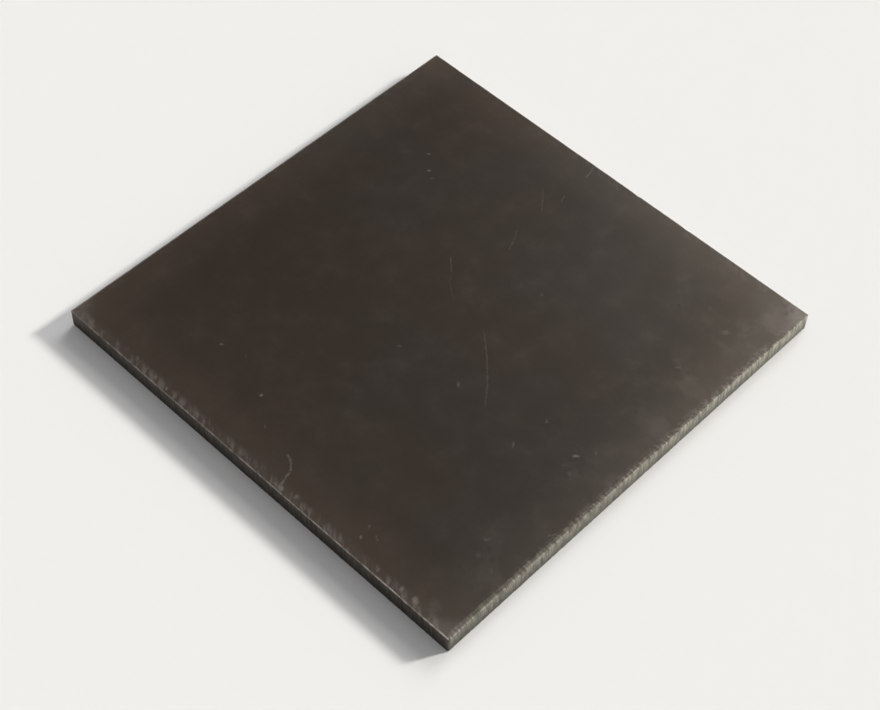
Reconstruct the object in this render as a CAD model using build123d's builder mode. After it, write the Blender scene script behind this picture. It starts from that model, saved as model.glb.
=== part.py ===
"""A square of hot-rolled steel plate, cut to size on all four sides.

The plate lies flat on z = 0 with its middle on the Z axis. Its faces are as rolled,
its corners are left nearly sharp, and its edges are broken by hand after cutting:
rounded over along the upper face, and only chamfered along the lower one.
"""

import os

from build123d import *

# Plate as cut, in millimetres
plate_width = 152.4
plate_length = 152.4
plate_thickness = 6.35

# Edges as finished
corner_radius = 0.5
upper_edge_radius = 0.35
lower_edge_chamfer = 0.3

with BuildPart() as plate:
    with BuildSketch(Plane.XY):
        RectangleRounded(plate_width, plate_length, corner_radius)
    extrude(amount=plate_thickness)
    rolled_faces = plate.faces().filter_by(Axis.Z).sort_by(Axis.Z)
    lower_edges = rolled_faces.first.edges()
    upper_edges = rolled_faces.last.edges()
    fillet(upper_edges, radius=upper_edge_radius)
    chamfer(lower_edges, length=lower_edge_chamfer)

plate.part.label = "steel_plate"
os.makedirs("parts", exist_ok=True)
export_step(plate.part, "parts/steel_plate.step")
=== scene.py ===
"""A square of rolled steel plate on a pale floor: dark mill scale on its faces, bare steel where cut."""

import math

import bpy
import numpy as np
from mathutils import Matrix, Vector, geometry, noise


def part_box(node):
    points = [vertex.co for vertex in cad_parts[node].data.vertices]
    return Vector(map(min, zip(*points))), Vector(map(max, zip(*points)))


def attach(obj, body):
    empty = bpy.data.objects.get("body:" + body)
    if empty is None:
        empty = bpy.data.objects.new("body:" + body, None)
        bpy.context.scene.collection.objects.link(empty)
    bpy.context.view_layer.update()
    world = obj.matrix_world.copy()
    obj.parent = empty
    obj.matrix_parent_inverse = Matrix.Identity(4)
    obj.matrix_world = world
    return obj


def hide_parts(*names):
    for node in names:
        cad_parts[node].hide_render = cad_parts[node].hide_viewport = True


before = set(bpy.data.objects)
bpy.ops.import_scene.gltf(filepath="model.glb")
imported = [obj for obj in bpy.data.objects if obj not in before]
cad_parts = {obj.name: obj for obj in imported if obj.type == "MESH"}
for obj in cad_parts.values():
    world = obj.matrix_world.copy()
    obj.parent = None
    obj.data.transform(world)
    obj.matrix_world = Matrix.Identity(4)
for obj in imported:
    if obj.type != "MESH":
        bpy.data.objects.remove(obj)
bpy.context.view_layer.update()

MM = 0.001

# The plate: its box, taken from the solid, and its edges
plate_low, plate_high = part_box("steel_plate")
half_width = plate_high.x
half_length = plate_high.y
plate_thickness = plate_high.z - plate_low.z
corner_radius = 0.5 * MM
upper_edge_radius = 0.35 * MM
lower_edge_chamfer = 0.3 * MM

# How finely the cut edge and the faces are drawn; each ring of the faces has an inset and a pitch
column_pitch = 0.2 * MM
corner_columns = 8
round_rows = 7
side_rows = 10
edge_support = 0.08 * MM
face_rings = ((2.4 * MM, 0.9 * MM), (3.8 * MM, 1.7 * MM), (6.5 * MM, 3.0 * MM))
face_grid_pitch = 4.0 * MM
fill_inside = 1
merge_reach = 1e-9

# Relief left by the shear and the file, all of it cut into the nominal shape
roll_over_width = 0.5 * MM
roll_over_drop = 0.5 * MM
roll_over_near_fade = 5.0 * MM
roll_over_far_fade = 30.0 * MM
tear_pitch = 0.9 * MM
tear_share = 0.35
edge_wander = 0.35
edge_wander_pitch = 7.0 * MM
nick_pitch = 2.6 * MM
nick_depth = 0.9 * MM
nick_start = 0.42
striation_pitch = 0.8 * MM
striation_height = 9.0 * MM
striation_depth = 0.13 * MM
striation_lean = 0.1
rough_pitch = 0.5 * MM
rough_depth = 0.04 * MM
face_wave_pitch = 28.0 * MM
face_wave_depth = 0.03 * MM

# The camera: the photograph's own place over the plate, brought closer by its lens
camera_azimuth = math.radians(41.99)
camera_elevation = math.radians(51.38)
camera_distance = 0.5492
camera_aim_shift = 15.5 * MM
camera_roll = math.radians(2.65)
image_width = 880
photo_focal_pixels = 991.45
photo_zoom = 1.9
sensor_width = 36.0

# The light: a soft key from the right at the back, and a glow at the back that the scale mirrors
key_azimuth = math.radians(27.8)
key_elevation = math.radians(27.0)
key_spread = math.radians(8.0)
key_strength = 3.0
key_colour = (1.0, 0.97, 0.92)
glow_azimuth = math.radians(-10.0)
glow_elevation = math.radians(35.0)
glow_reach = math.radians(20.0)
glow_strength = 6.6
fill_strength = 0.33
horizon_strength = 0.2
horizon_height = 0.3
floor_reach = 6.0
floor_drop = 0.02 * MM


class Field:
    """One value, vector or colour of a material. Arithmetic on a value adds Math nodes."""

    def __init__(self, finish, socket):
        self.finish = finish
        self.socket = socket

    def math(self, operation, *others):
        return self.finish.node("ShaderNodeMath", {"operation": operation}, dict(enumerate((self, *others))))

    def __add__(self, other):
        return self.math("ADD", other)

    __radd__ = __add__

    def __mul__(self, other):
        return self.math("MULTIPLY", other)

    __rmul__ = __mul__

    def __sub__(self, other):
        return self.math("SUBTRACT", other)

    def __rsub__(self, other):
        return (self * -1.0) + other

    def __truediv__(self, other):
        return self.math("DIVIDE", other)

    def __abs__(self):
        return self.math("ABSOLUTE")

    def __gt__(self, other):
        return self.math("GREATER_THAN", other)

    def __lt__(self, other):
        return self.math("LESS_THAN", other)

    def or_less(self, other):
        return self.math("MINIMUM", other)

    def or_more(self, other):
        return self.math("MAXIMUM", other)

    def sign(self):
        return self.math("SIGN")


class Finish:
    """A node tree with one method that adds any node, and short names for the common ones."""

    def __init__(self, owner):
        owner.use_nodes = True
        self.tree = owner.node_tree
        self.tree.nodes.clear()

    def node(self, kind, settings=None, sockets=None, output=0):
        made = self.tree.nodes.new(kind)
        for name, value in (settings or {}).items():
            setattr(made, name, value)
        for name, value in (sockets or {}).items():
            if isinstance(value, Field):
                self.tree.links.new(value.socket, made.inputs[name])
            else:
                made.inputs[name].default_value = value
        if isinstance(output, tuple):
            return [Field(self, made.outputs[name]) for name in output]
        return Field(self, made.outputs[output]) if made.outputs else made

    def split(self, point):
        return self.node("ShaderNodeSeparateXYZ", None, {0: point}, ("X", "Y", "Z"))

    def join(self, x, y, z):
        return self.node("ShaderNodeCombineXYZ", None, {"X": x, "Y": y, "Z": z})

    def vector(self, operation, one, other, output=0):
        return self.node("ShaderNodeVectorMath", {"operation": operation}, {0: one, 1: other}, output)

    def scaled(self, colour, factor):
        """A colour or a vector times a factor."""
        return self.node("ShaderNodeVectorMath", {"operation": "SCALE"}, {0: colour, "Scale": factor})

    def smooth(self, value, low, high):
        """0 at low, 1 at high, with an eased step between; low may be the greater."""
        settings = {"interpolation_type": "SMOOTHSTEP"}
        return self.node("ShaderNodeMapRange", settings, {"Value": value, "From Min": low, "From Max": high})

    def cloud(self, point, detail, roughness=0.5):
        """Soft noise from about 0.2 to 0.8 with features one unit of the point across."""
        sockets = {"Vector": point, "Scale": 1.0, "Detail": detail, "Roughness": roughness}
        return self.node("ShaderNodeTexNoise", {"noise_dimensions": "3D"}, sockets)

    def even_cloud(self, point, pitch, detail, roughness):
        """Soft noise with features one pitch across every way."""
        counted = self.vector("MULTIPLY", point, (1.0 / pitch, 1.0 / pitch, 1.0 / pitch))
        return self.cloud(counted, detail, roughness)

    def stripes(self, along, across, size, mark, detail, roughness=0.5):
        """Soft noise with features of a size along and across; each mark has its own."""
        size_along, size_across = size
        return self.cloud(self.join(along / size_along, across / size_across, mark), detail, roughness)

    def blend(self, share, one, other):
        """Colour one where share is 0 and the other where it is 1."""
        settings = {"data_type": "RGBA", "clamp_factor": True}
        return self.node("ShaderNodeMix", settings, {0: share, 6: one, 7: other}, 2)

    def surface(self, sockets):
        """Closes a material with one shader."""
        shader = self.node("ShaderNodeBsdfPrincipled", None, sockets)
        self.node("ShaderNodeOutputMaterial", None, {"Surface": shader})


def paint(red, green, blue):
    return (red, green, blue, 1.0)


# The shape


def plan_outline():
    """Places around the plate's plan, counter-clockwise from the right side, and the way out at each."""
    places, ways = [], []
    corners = ((1, 1), (-1, 1), (-1, -1), (1, -1))
    for turn, (x_sign, y_sign) in enumerate(corners):
        centre = np.array([x_sign * (half_width - corner_radius), y_sign * (half_length - corner_radius)])
        first = turn * math.pi / 2
        before = np.array([math.cos(first), math.sin(first)])
        run = np.array([-before[1], before[0]])
        side = 2 * abs(centre @ run)
        count = round(side / column_pitch)
        for step in range(count):
            places.append(centre + corner_radius * before - run * side * (1 - step / count))
            ways.append(before)
        for step in range(corner_columns):
            angle = first + math.pi / 2 * step / corner_columns
            way = np.array([math.cos(angle), math.sin(angle)])
            places.append(centre + corner_radius * way)
            ways.append(way)
    return np.array(places), np.array(ways)


def noise_at(points, pitch, offset):
    """Signed noise at each point, with features one pitch across; the pitch may differ along each axis."""
    counted = np.asarray(points) / np.asarray(pitch) + offset
    return np.array([noise.noise(Vector(point)) for point in counted])


def at_height(places, height):
    return np.column_stack([places, np.broadcast_to(height, len(places))])


def upper_edge(places):
    """Width and drop of the upper edge's rounding: filed by hand, nicked, and rolled over on the right."""
    points = at_height(places, 0.0)
    wander = 1 + edge_wander * noise_at(points, edge_wander_pitch, offset=3.7)
    nick = np.clip(noise_at(points, nick_pitch, offset=11.3) - nick_start, 0, None) * nick_depth
    straight = np.array([half_width, half_length]) - corner_radius - np.abs(places)
    from_far = half_length - corner_radius - places[:, 1]
    from_near = half_length - corner_radius + places[:, 1]
    rolled = np.clip(np.minimum(from_far / roll_over_far_fade, from_near / roll_over_near_fade), 0, 1)
    rolled = rolled * rolled * (3 - 2 * rolled) * (places[:, 0] > half_width - corner_radius / 2)
    tear = 1 + tear_share * rolled * noise_at(points, tear_pitch, offset=6.1)
    limit = corner_radius - 2 * edge_support + np.clip(straight.max(axis=1), 0, None)
    filed = np.clip(upper_edge_radius * wander + nick, 0, limit)
    width = filed + rolled * wander * tear * (roll_over_width - upper_edge_radius)
    drop = filed * tear + rolled * wander * (roll_over_drop - upper_edge_radius)
    return width, drop


def side_relief(places, ways, heights):
    """How far the cut side lies inside its nominal plane: leaning striations and a rough break."""
    run = np.column_stack([-ways[:, 1], ways[:, 0]])
    leaned = places - run * (striation_lean * (plate_high.z - heights))[:, None]
    points = at_height(leaned, heights)
    upright = (striation_pitch, striation_pitch, striation_height)
    striation = 0.5 + 0.5 * noise_at(points, upright, offset=5.1)
    fine = 0.5 + 0.5 * noise_at(points, rough_pitch, offset=8.9)
    return striation_depth * striation + rough_depth * fine


def edge_rows(places, ways):
    """Rows of points from the upper face over the cut side to the lower face."""
    width, drop = upper_edge(places)
    top = plate_high.z

    def row(inset, heights):
        return at_height(places - ways * np.broadcast_to(inset, len(places))[:, None], heights)

    rows = [row(width + edge_support, top)]
    relief = side_relief(places, ways, top - drop)
    for step in range(round_rows):
        share = step / (round_rows - 1)
        angle = math.pi / 2 * share
        inset = width * (1 - math.sin(angle)) + share**2 * relief
        rows.append(row(inset, top - drop * (1 - math.cos(angle))))
    foot = plate_low.z + lower_edge_chamfer
    for step in range(1, side_rows + 1):
        share = step / side_rows
        heights = (top - drop) * (1 - share) + foot * share
        rows.append(row(side_relief(places, ways, heights), heights))
    rows.append(row(lower_edge_chamfer, plate_low.z))
    rows.append(row(lower_edge_chamfer + edge_support, plate_low.z))
    return rows


def face_points():
    """Plan points inside a face, close together near its edge and far apart in its middle."""
    points = []
    for inset, pitch in face_rings:
        reach = np.array([half_width - inset, half_length - inset])
        for sign in (-1, 1):
            for axis in (0, 1):
                count = round(2 * reach[axis] / pitch)
                ring = np.empty((count, 2))
                ring[:, axis] = np.linspace(-reach[axis], reach[axis], count, endpoint=False) * sign
                ring[:, 1 - axis] = reach[1 - axis] * sign * (1 if axis else -1)
                points.append(ring)
    last = face_rings[-1][0] + face_grid_pitch
    grid_x, grid_y = half_width - last, half_length - last
    across = np.linspace(-grid_x, grid_x, round(2 * grid_x / face_grid_pitch))
    along = np.linspace(-grid_y, grid_y, round(2 * grid_y / face_grid_pitch))
    points.append(np.stack(np.meshgrid(across, along), -1).reshape(-1, 2))
    return np.concatenate(points)


def face_mesh(loop):
    """Inner points of a face, numbered after the loop of its rim, and the triangles that close the loop."""
    inner = face_points()
    flat = [Vector(point) for point in np.concatenate([loop, inner])]
    rim = [(i, (i + 1) % len(loop)) for i in range(len(loop))]
    filled = geometry.delaunay_2d_cdt(flat, rim, [], fill_inside, merge_reach)
    triangles, origins = filled[2:4]
    first = [origin[0] for origin in origins]
    return inner, [[first[i] for i in triangle] for triangle in triangles]


def steel_plate():
    """The plate's closed mesh: two rolled faces joined by the cut edge."""
    places, ways = plan_outline()
    rows = edge_rows(places, ways)
    count = len(places)
    vertices = np.concatenate(rows)
    faces = []
    for upper in range(len(rows) - 1):
        for column in range(count):
            after = (column + 1) % count
            low, high = (upper + 1) * count, upper * count
            faces.append((high + column, low + column, low + after, high + after))
    last = (len(rows) - 1) * count
    for ring, level, facing in ((0, plate_high.z, 1), (last, plate_low.z, -1)):
        inner, triangles = face_mesh(vertices[ring : ring + count, :2])
        wave = 0.5 + 0.5 * noise_at(at_height(inner, level), face_wave_pitch, offset=1.9)
        heights = level - face_wave_depth * wave * (facing > 0)
        start = len(vertices) - count
        vertices = np.concatenate([vertices, at_height(inner, heights)])
        for triangle in triangles:
            named = [ring + i if i < count else start + i for i in triangle]
            faces.append(named if facing > 0 else named[::-1])
    mesh = bpy.data.meshes.new("steel_plate_skin")
    mesh.from_pydata(vertices.tolist(), [], faces)
    mesh.validate()
    mesh.shade_smooth()
    plate = bpy.data.objects.new("steel_plate_skin", mesh)
    bpy.context.scene.collection.objects.link(plate)
    return plate


# The finishes

# Colours
scale_brown = paint(0.064, 0.0475, 0.0360)
scale_grey = paint(0.056, 0.0475, 0.0385)
rubbed_scale = paint(0.262, 0.230, 0.208)
bare_steel = paint(0.52, 0.475, 0.43)
cut_steel = paint(0.427, 0.411, 0.352)
# Cut steel in painted shade: the warmer colour drawn on the left and front sides
cut_steel_in_painted_shade = paint(0.430, 0.377, 0.326)
floor_pale = paint(0.88, 0.88, 0.875)
light_white = paint(1.0, 1.0, 1.0)

# Sizes of the scale's clouds and grain, and of what lies along the edges; a pair is along and across
broad_pitch = 45.0 * MM
middle_pitch = 8.0 * MM
fine_pitch = 1.6 * MM
grain_pitch = 0.5 * MM
stray_pitch = 1.1 * MM
stray_reach = 0.9 * MM
smudge_size = (1.8 * MM, 3.6 * MM)
hair_size = (0.5 * MM, 5.0 * MM)
haze_pitch = 7.0 * MM
streak_size = (0.4 * MM, 5.0 * MM)
fleck_size = (1.0 * MM, 4.5 * MM)
ragged_reach = 0.4 * MM
broken_pitch = 1.6 * MM

# Bands of the finish: where each begins and where it is full
upper_face_drop = (0.8 * MM, 0.4 * MM)
cut_side_inset = (0.3 * MM, 0.15 * MM)
border_inset = (18.0 * MM, 0.0)
corner_inset = (11.0 * MM, 5.0 * MM)
light_to_right = (50.0 * MM, 70.0 * MM)
light_to_front = (-20.0 * MM, -70.0 * MM)
file_inset = (3.9 * MM, 1.1 * MM)
chip_inset = (2.9 * MM, 0.9 * MM)
chip_run = (70.0 * MM, 45.0 * MM)
torn_inset = (0.95 * MM, -1.35 * MM)
frayed_inset = (1.5 * MM, 0.9 * MM)
bright_end = (58.0 * MM, 75.0 * MM)
lower_wear_inset = (0.45 * MM, 0.25 * MM)

# What differs from side to side, in the order right, back, left and front, and from corner to corner
stroke_strength = (0.15, 0.17, 0.17, 0.85)
wear_and_glint_reach = (0.5 * MM, 0.5 * MM, 0.7 * MM, 0.45 * MM)
steel_roughness = (0.5, 0.42, 0.28, 0.28)
corner_haze = {"right_back": 0.28, "left_back": 0.0, "left_front": 0.36, "right_front": 0.42}

# Scratches on the upper face: start, end, bow to the left, width and strength, in millimetres
face_scratches = (
    ((11.6, 5.0), (33.0, -17.0), 1.1, 0.34, 0.16),
    ((-13.4, 17.6), (-8.0, 12.4), 0.0, 0.30, 0.2),
    ((-8.6, 12.8), (-1.0, 6.0), -0.5, 0.40, 0.07),
    ((-7.0, 40.0), (-2.6, 31.0), 0.5, 0.34, 0.11),
    ((-13.0, 58.0), (-5.6, 49.0), 0.4, 0.34, 0.09),
    ((-5.6, 60.0), (-4.6, 57.0), 0.1, 0.35, 0.17),
    ((-7.4, 75.6), (-6.0, 69.6), 0.3, 0.40, 0.22),
    ((4.2, -65.9), (9.6, -69.6), 0.7, 0.50, 0.42),
    ((9.4, -69.0), (12.2, -76.6), -0.5, 0.50, 0.5),
)

# How short marks lie on the face: the way along, in degrees from +X, and how many times longer than wide
mark_lies = {
    "level": (42, 1.9),
    "upright": (-48, 2.6),
    "broad": (-48, 1.3),
    "rising": (73, 4.8),
    "slanted": (116, 3.3),
}

# Short marks on the upper face: place, half length, lie and strength, in millimetres
face_specks = (
    ((-47.0, 42.6), 0.9, "level", 0.35),
    ((-42.0, 37.6), 1.0, "level", 0.45),
    ((-39.0, 36.0), 0.9, "level", 0.35),
    ((0.0, -17.4), 1.0, "level", 0.20),
    ((21.4, -15.4), 1.6, "upright", 0.32),
    ((-15.0, -57.4), 0.65, "broad", 1.00),
    ((-36.4, -53.2), 1.0, "level", 0.36),
    ((-28.2, -51.2), 0.9, "upright", 0.18),
    ((-6.5, -64.0), 0.9, "upright", 0.24),
    ((46.4, -19.6), 1.5, "slanted", 0.30),
    ((47.5, -7.0), 1.2, "upright", 0.20),
    ((61.4, 33.8), 1.2, "level", 0.22),
    ((16.0, 25.8), 0.9, "broad", 0.13),
    ((37.9, -70.3), 1.0, "upright", 0.75),
    ((41.2, -67.5), 1.4, "upright", 0.30),
    ((37.2, -66.4), 1.2, "upright", 0.22),
    ((11.5, -74.9), 1.8, "broad", 0.75),
    ((61.2, -10.0), 1.4, "level", 0.45),
    ((64.5, -5.2), 1.0, "broad", 0.15),
    ((63.8, -15.6), 1.2, "broad", 0.14),
    ((61.0, -14.4), 1.2, "level", 0.12),
    ((62.2, -47.0), 1.8, "level", 0.20),
    ((64.0, -52.2), 1.5, "broad", 0.16),
    ((69.6, -53.4), 1.6, "broad", 0.18),
    ((66.6, -71.8), 3.4, "broad", 0.14),
    ((62.8, 53.2), 2.6, "level", 0.10),
    ((63.2, 53.9), 1.2, "broad", 0.14),
    ((54.5, 57.2), 1.7, "broad", 0.06),
    ((71.8, 75.6), 1.4, "upright", 0.22),
    ((68.4, 75.2), 1.9, "broad", 0.14),
    ((74.0, -33.2), 1.6, "rising", 0.45),
    ((73.3, -34.3), 1.4, "rising", 0.35),
    ((-68.3, -74.1), 1.4, "slanted", 0.55),
    ((-63.8, -74.6), 1.3, "upright", 0.45),
    ((-49.3, -73.6), 1.2, "broad", 0.38),
    ((-40.7, -74.1), 1.3, "upright", 0.65),
    ((-35.4, -74.8), 1.3, "upright", 0.65),
    ((-33.4, -74.3), 1.2, "upright", 0.40),
    ((16.8, -73.8), 1.5, "broad", 0.45),
    ((33.6, -73.9), 1.3, "broad", 0.25),
    ((48.3, -74.2), 1.1, "broad", 0.55),
    ((57.0, -74.0), 1.4, "broad", 0.60),
    ((61.8, -73.9), 1.9, "broad", 0.80),
)

# Spots where the scale is thick and dark: place, half length and strength, in millimetres
dark_spots = (
    ((71.6, 74.0), 1.5, 0.22),
    ((71.2, 71.7), 1.5, 0.22),
    ((69.3, 73.6), 1.3, 0.12),
    ((64.5, 34.2), 1.3, 0.14),
    ((47.2, 51.4), 1.1, 0.14),
    ((67.5, -50.5), 1.6, 0.16),
    ((64.6, -48.8), 1.3, 0.14),
)

# Patches near the right edge where the scale is thin: place, half length and strength, in millimetres
light_patches = (
    ((69.0, 31.0), 7.0, 0.9),
    ((72.0, 14.0), 6.0, 0.8),
    ((65.5, 57.5), 6.0, 0.5),
    ((62.0, 50.5), 6.0, 0.5),
    ((71.0, 68.0), 11.0, 0.8),
    ((60.0, 35.0), 4.0, 0.5),
    ((63.5, -14.0), 5.0, 0.5),
    ((73.0, -9.0), 4.0, 0.6),
    ((65.5, -48.0), 7.0, 0.9),
    ((69.5, -54.0), 6.5, 1.0),
    ((66.5, -71.5), 4.0, 0.8),
)


class PlatePoint:
    """Where a point of the plate lies: by which side, how far in from it and how far below the top."""

    def __init__(self, finish):
        self.place = finish.node("ShaderNodeTexCoord", None, None, "Object")
        self.x, self.y, z = finish.split(self.place)
        self.rightward = self.x / half_width
        self.backward = self.y / half_length
        self.from_x = half_width - abs(self.x)
        self.from_y = half_length - abs(self.y)
        self.inset = self.from_x.or_less(self.from_y)
        self.drop = plate_high.z - z
        self.rise = z - plate_low.z
        self.height = self.rise / plate_thickness
        self.on_top = finish.smooth(self.drop, *upper_face_drop)
        on_y_sides = self.from_y < self.from_x
        on_x_sides = 1 - on_y_sides
        self.on_right = on_x_sides * (self.x > 0.0)
        self.on_back = on_y_sides * (self.y > 0.0)
        self.on_left = on_x_sides * (self.x < 0.0)
        self.on_front = on_y_sides * (self.y < 0.0)
        self.along = on_x_sides * self.y * self.x.sign() - on_y_sides * self.x * self.y.sign()
        # A number of its own for each side, so that no two sides have the same stripes
        self.side_mark = self.by_side(3.7, 11.4, -3.7, 6.8)

    def by_side(self, right, back, left, front):
        return self.on_right * right + self.on_back * back + self.on_left * left + self.on_front * front

    def by_corner(self, right_back, left_back, left_front, right_front):
        at_right = (self.y > 0.0) * right_back + (self.y < 0.0) * right_front
        at_left = (self.y > 0.0) * left_back + (self.y < 0.0) * left_front
        return (self.x > 0.0) * at_right + (self.x < 0.0) * at_left


class Clouds:
    """Unevenness of the scale, from broad clouds down to its grain."""

    def __init__(self, finish, place):
        self.broad = finish.even_cloud(place, broad_pitch, 4.0, 0.55)
        self.middle = finish.even_cloud(place, middle_pitch, 5.0, 0.6)
        self.fine = finish.even_cloud(place, fine_pitch, 3.0, 0.6)
        self.grain = finish.even_cloud(place, grain_pitch, 2.0, 0.6)


class Tears:
    """Streaks and flecks of the cut, leaning with the blade and running round the edge onto the face."""

    def __init__(self, finish, at):
        leaned = at.along - at.drop * striation_lean
        round_edge = at.rise - at.inset
        self.streaks = finish.stripes(leaned, round_edge, streak_size, at.side_mark, 3.0, 0.65)
        self.flecks = finish.stripes(leaned, round_edge, fleck_size, at.side_mark + 5.0, 2.0)
        self.hairs = finish.smooth(self.streaks, 0.3, 0.7)
        self.beads = finish.smooth(self.flecks, 0.34, 0.66)
        # The torn band is widest at the front end of the right side
        self.inset = at.inset / (0.8 - at.backward * 0.38)


def scratch(finish, x, y, start, end, bow, width):
    """A gently curved scratch from start to end, fading at both ends."""
    run = end - start
    half = run.length / 2
    way = run.normalized()
    centre = (start + end) / 2
    share = (x * way.x + y * way.y - centre.dot(way)) / half
    aside = y * way.x - x * way.y - (centre.y * way.x - centre.x * way.y)
    off_path = abs(aside - (1 - share * share) * bow)
    return finish.smooth(off_path, width, width * 0.25) * finish.smooth(abs(share), 1.0, 0.65)


def unsteady_plan(finish, place):
    """The plan point, strayed by a fraction of a millimetre, so that marks drawn from it are irregular."""
    unsteady = finish.node("ShaderNodeTexNoise", None, {"Vector": place, "Scale": 1 / stray_pitch}, "Color")
    centred = finish.vector("SUBTRACT", unsteady, (0.5, 0.5, 0.5))
    moved = finish.vector("ADD", place, finish.scaled(centred, stray_reach))
    return finish.vector("MULTIPLY", moved, (1.0, 1.0, 0.0))


def marks_plan(finish, plan, lie):
    """The plan turned along the marks of one lie and stretched across them, so that each is round in it."""
    turn, slimness = mark_lies[lie]
    way = Vector((math.cos(math.radians(turn)), math.sin(math.radians(turn)), 0.0))
    across = Vector((-way.y, way.x, 0.0)) * slimness
    turned_x = finish.vector("DOT_PRODUCT", plan, way, "Value")
    turned_y = finish.vector("DOT_PRODUCT", plan, across, "Value")
    return finish.join(turned_x, turned_y, 0.0), way, across


def spot(finish, marked_plan, centre, half_length):
    """A soft mark on the upper face, 1 in its middle and 0 at its outline; sizes in millimetres."""
    turned, way, across = marked_plan
    place = Vector((*centre, 0.0)) * MM
    off = finish.vector("DISTANCE", turned, (place.dot(way), place.dot(across), 0.0), "Value")
    return finish.smooth(off, half_length * MM, half_length * 0.2 * MM)


def spots(finish, marked_plan, rows):
    """The soft marks of a list, each by its strength, added up."""
    return sum(spot(finish, marked_plan, centre, reach) * strength for centre, reach, strength in rows)


def face_marks(finish, plan):
    """Scratches and specks of the upper face, from 0 to 1."""
    x, y, _ = finish.split(plan)
    shown = 0.0
    for start, end, bow, width, strength in face_scratches:
        mark = scratch(finish, x, y, Vector(start) * MM, Vector(end) * MM, bow * MM, width * MM) * strength
        shown = mark.or_more(shown)
    marked_plans = {lie: marks_plan(finish, plan, lie) for lie in mark_lies}
    for centre, half_length, lie, strength in face_specks:
        shown = (spot(finish, marked_plans[lie], centre, half_length) * strength).or_more(shown)
    return shown


def file_strokes(finish, at):
    """Slanted smudges and a haze that the file left on the face beside its edge, from 0 to 1."""
    leaning = at.along + at.inset * 0.8
    smudges = finish.stripes(leaning, at.inset, smudge_size, at.side_mark, 3.0, 0.55)
    hairs = finish.stripes(leaning, at.inset, hair_size, at.side_mark, 2.0, 0.6)
    haze = finish.cloud(finish.join(at.along / haze_pitch, at.side_mark, 3.3), 2.0)
    drawn = finish.smooth(smudges, 0.46, 0.68) * 0.6 + finish.smooth(hairs, 0.5, 0.75) * 0.12
    return finish.smooth(at.inset, *file_inset) * (drawn + haze * 0.16)


def mill_scale(finish, at, clouds):
    """The scale's colour: brown, greyer to the right at the back, mottled, and lighter towards the edges."""
    greyer = finish.smooth(clouds.broad + (at.rightward + at.backward) * 0.107, 0.35, 0.68)
    to_right = finish.smooth(at.x, *light_to_right)
    to_front = finish.smooth(at.y, *light_to_front)
    border = finish.smooth(at.from_x, *border_inset) + finish.smooth(at.from_y, *border_inset)
    wisps = finish.smooth(clouds.middle, 0.44, 0.66) * (0.06 + to_right * 0.08)
    mottle = 0.75 + clouds.broad * 0.2 + clouds.middle * 0.14 + clouds.fine * 0.08 + clouds.grain * 0.08
    lighter = 1 + border * 0.33 + wisps + to_right * 0.1 + to_front * 0.15
    return finish.scaled(finish.blend(greyer, scale_brown, scale_grey), mottle * lighter)


def rubbed_share(finish, at, clouds, plan, round_plan):
    """How far the scale is rubbed light: file strokes, hazy corners, thin patches, chips and marks."""
    strokes = file_strokes(finish, at) * at.by_side(*stroke_strength)
    corner = finish.smooth(at.from_x + at.from_y, *corner_inset) * at.by_corner(**corner_haze)
    patches = spots(finish, round_plan, light_patches)
    thin = finish.smooth(patches + (clouds.middle - 0.5) * 2.2, 0.15, 0.85)
    speckle = finish.smooth(clouds.fine * 0.6 + clouds.grain * 0.4, 0.44, 0.64)
    by_edge = finish.smooth(at.inset, *chip_inset) * finish.smooth(abs(at.y), *chip_run) * at.on_right
    hazy = strokes + corner * (0.3 + clouds.middle * 0.9) + thin * 0.07 + speckle * by_edge * 0.55
    marks = face_marks(finish, plan) * (0.5 + finish.smooth(clouds.fine, 0.36, 0.6) * 0.75)
    return (hazy.or_more(marks) * at.on_top).or_less(0.85)


def cut_side(finish, at, tears):
    """The cut sides' colour: torn stripes, with painted shade that darkens them towards the floor, and
    darkens and browns the left and front sides, which face away from the key light.
    """
    torn = 0.78 + (tears.hairs * 0.38 + tears.beads * 0.44 - 0.4) * (0.4 + at.height * 0.603)
    # Painted shade: every side is drawn darker towards the floor
    painted_foot_shade = (0.5 + at.height * 0.73).or_less(1.07)
    # Painted shade: the left and front sides, facing away from the key light, are drawn much darker; the
    # right side grows lighter towards the back
    side_tone_and_painted_shade = at.by_side(0.95 + at.backward * 0.26, 0.9, 0.48, 0.31)
    steel = finish.blend(at.on_left + at.on_front, cut_steel, cut_steel_in_painted_shade)
    return finish.scaled(steel, torn * painted_foot_shade * side_tone_and_painted_shade)


def bared_share(finish, at, clouds, tears):
    """How far the steel is bare: on the cut sides, and ragged where the right one is torn over the edge."""
    ragged = (tears.hairs * 0.9 + tears.beads * 0.6 + clouds.fine * 2.5) * ragged_reach
    rolled = finish.smooth(tears.inset - ragged, *torn_inset) * at.on_right * at.on_top
    return finish.smooth(at.inset, *cut_side_inset).or_more(rolled)


def wear_and_glint_share(finish, at, tears):
    """How far the steel is bare and bright in a thin broken line along the edges: wear on the back, left and
    front, and painted glints of the key light in bright beads on the right.
    """
    broken = finish.cloud(finish.join(at.along / broken_pitch, at.side_mark, 7.7), 3.0, 0.6)
    # On the right side the line is painted glints: bright beads along the arris, stronger towards the front,
    # where the rough rim shows no highlight of its own
    right_painted_glints = tears.hairs * tears.beads * (0.9 - at.backward * 0.53)
    front_line = 0.56 + at.rightward * 0.152 + finish.smooth(at.x, *bright_end) * 0.3
    wear_and_glint_lines = at.by_side(right_painted_glints, 0.62, 0.36, front_line)
    brightness = wear_and_glint_lines * (0.45 + finish.smooth(broken, 0.34, 0.64) * 0.75)
    upper = finish.smooth((at.inset + at.drop) / at.by_side(*wear_and_glint_reach), 1.0, 0.55) * brightness
    lower = finish.smooth(at.inset + at.rise, *lower_wear_inset) * 0.2
    return upper.or_more(lower)


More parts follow.
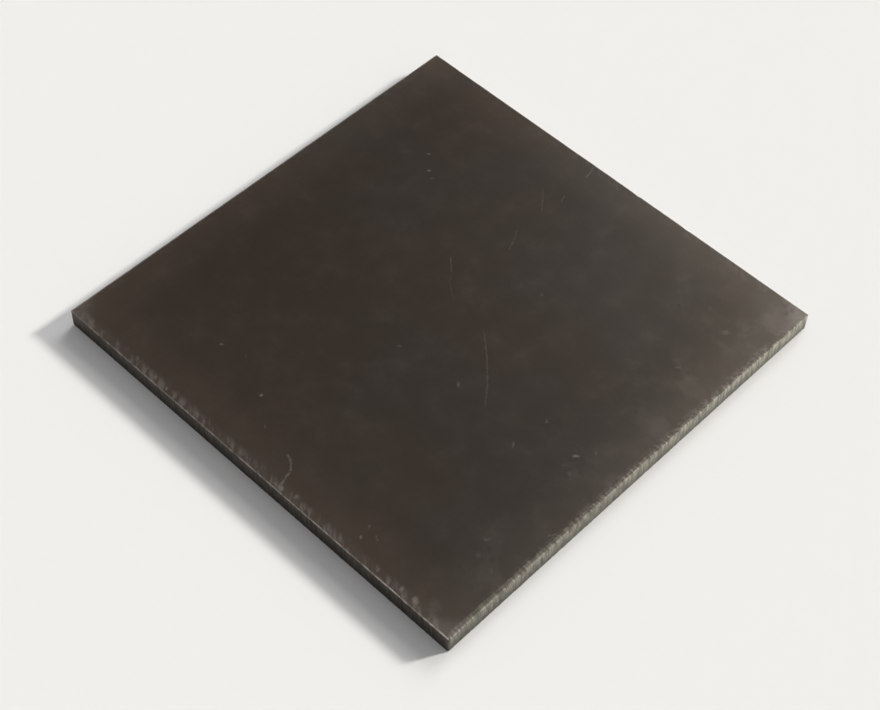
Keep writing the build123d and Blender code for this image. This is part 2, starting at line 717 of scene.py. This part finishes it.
def mill_scale_steel():
    """Dark oxide on the rolled faces, rubbed lighter near the edges, and bare steel on the cut sides, with
    painted shade on the left and front sides and at the feet of all sides, and painted glints along the
    right edge.
    """
    material = bpy.data.materials.new("mill_scale_steel")
    finish = Finish(material)
    at = PlatePoint(finish)
    clouds = Clouds(finish, at.place)
    plan = unsteady_plan(finish, at.place)
    round_plan = marks_plan(finish, plan, "broad")
    scale = mill_scale(finish, at, clouds)
    rubbed = rubbed_share(finish, at, clouds, plan, round_plan)
    dark = spots(finish, round_plan, dark_spots) * at.on_top
    face = finish.scaled(finish.blend(rubbed, scale, rubbed_scale), 1 - dark)
    tears = Tears(finish, at)
    bared = bared_share(finish, at, clouds, tears)
    # Bare lines of wear along the edges, and painted glints along the right one
    wear_and_glint = wear_and_glint_share(finish, at, tears)
    unworn = finish.blend(bared, face, cut_side(finish, at, tears))
    colour = finish.blend(wear_and_glint, unworn, bare_steel)
    steel = bared.or_more(wear_and_glint)
    frayed = finish.smooth(tears.inset, *frayed_inset) * at.on_right
    rougher = steel.or_more(frayed) * at.by_side(*steel_roughness)
    roughness = 0.27 + clouds.middle * 0.06 + clouds.fine * 0.04 + rougher
    metallic = 0.85 + steel * 0.15
    relief = clouds.grain * 0.002 + clouds.fine * 0.003 + steel * (tears.streaks + tears.flecks) * 0.045
    bump = finish.node("ShaderNodeBump", None, {"Strength": 1.0, "Distance": MM, "Height": relief}, "Normal")
    finish.surface({"Base Color": colour, "Metallic": metallic, "Roughness": roughness, "Normal": bump})
    return material


def pale_floor():
    """A plain pale floor."""
    material = bpy.data.materials.new("pale_floor")
    finish = Finish(material)
    finish.surface({"Base Color": floor_pale, "Roughness": 0.9, "Specular IOR Level": 0.1})
    return material


# The stage


def floor():
    mesh = bpy.data.meshes.new("floor")
    level = plate_low.z - floor_drop
    corners = [(x * floor_reach, y * floor_reach, level) for x, y in ((-1, -1), (1, -1), (1, 1), (-1, 1))]
    mesh.from_pydata(corners, [], [(0, 1, 2, 3)])
    mesh.materials.append(pale_floor())
    made = bpy.data.objects.new("floor", mesh)
    bpy.context.scene.collection.objects.link(made)


def toward(azimuth, elevation):
    """A direction by its turn from +Y towards +X and its height above the floor."""
    flat = math.cos(elevation)
    return Vector((math.sin(azimuth) * flat, math.cos(azimuth) * flat, math.sin(elevation)))


def key_light():
    lamp = bpy.data.lights.new("key", "SUN")
    lamp.angle = key_spread
    lamp.energy = key_strength
    lamp.color = key_colour
    made = bpy.data.objects.new("key", lamp)
    bpy.context.scene.collection.objects.link(made)
    made.rotation_mode = "QUATERNION"
    made.rotation_quaternion = toward(key_azimuth, key_elevation).to_track_quat("Z", "Y")


def surroundings():
    """Soft light all round, a little stronger near the floor, with a broad glow at the back."""
    world = bpy.data.worlds.new("surroundings")
    bpy.context.scene.world = world
    finish = Finish(world)
    way = finish.node("ShaderNodeTexCoord", None, None, "Generated")
    height = finish.split(way)[2]
    toward_glow = finish.vector("DOT_PRODUCT", way, toward(glow_azimuth, glow_elevation), "Value")
    glow = finish.smooth(toward_glow, math.cos(glow_reach), 1.0) * glow_strength
    level = fill_strength + horizon_strength * finish.smooth(height, horizon_height, 0.0) + glow
    light = finish.node("ShaderNodeBackground", None, {"Color": light_white, "Strength": level})
    finish.node("ShaderNodeOutputWorld", None, {"Surface": light})


def camera():
    """The photograph's viewing angle, aimed so that the plate sits in the middle of the picture."""
    middle = Vector((0, 0, plate_high.z))
    flat = Vector((math.sin(camera_azimuth), -math.cos(camera_azimuth), 0))
    back = flat * math.cos(camera_elevation) + Vector((0, 0, math.sin(camera_elevation)))
    place = middle + back * camera_distance
    aim = middle + flat * camera_aim_shift
    lens = bpy.data.cameras.new("camera")
    lens.sensor_width = sensor_width
    lens.lens = sensor_width * photo_zoom * photo_focal_pixels / image_width
    made = bpy.data.objects.new("camera", lens)
    bpy.context.scene.collection.objects.link(made)
    turn = (aim - place).to_track_quat("-Z", "Y").to_matrix().to_4x4()
    made.matrix_world = Matrix.Translation(place) @ turn @ Matrix.Rotation(camera_roll, 4, "Z")
    bpy.context.scene.camera = made


plate = steel_plate()
plate.data.materials.append(mill_scale_steel())
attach(plate, "root")
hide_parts("steel_plate")
floor()
key_light()
surroundings()
camera()
bpy.context.scene.view_settings.view_transform = "Standard"
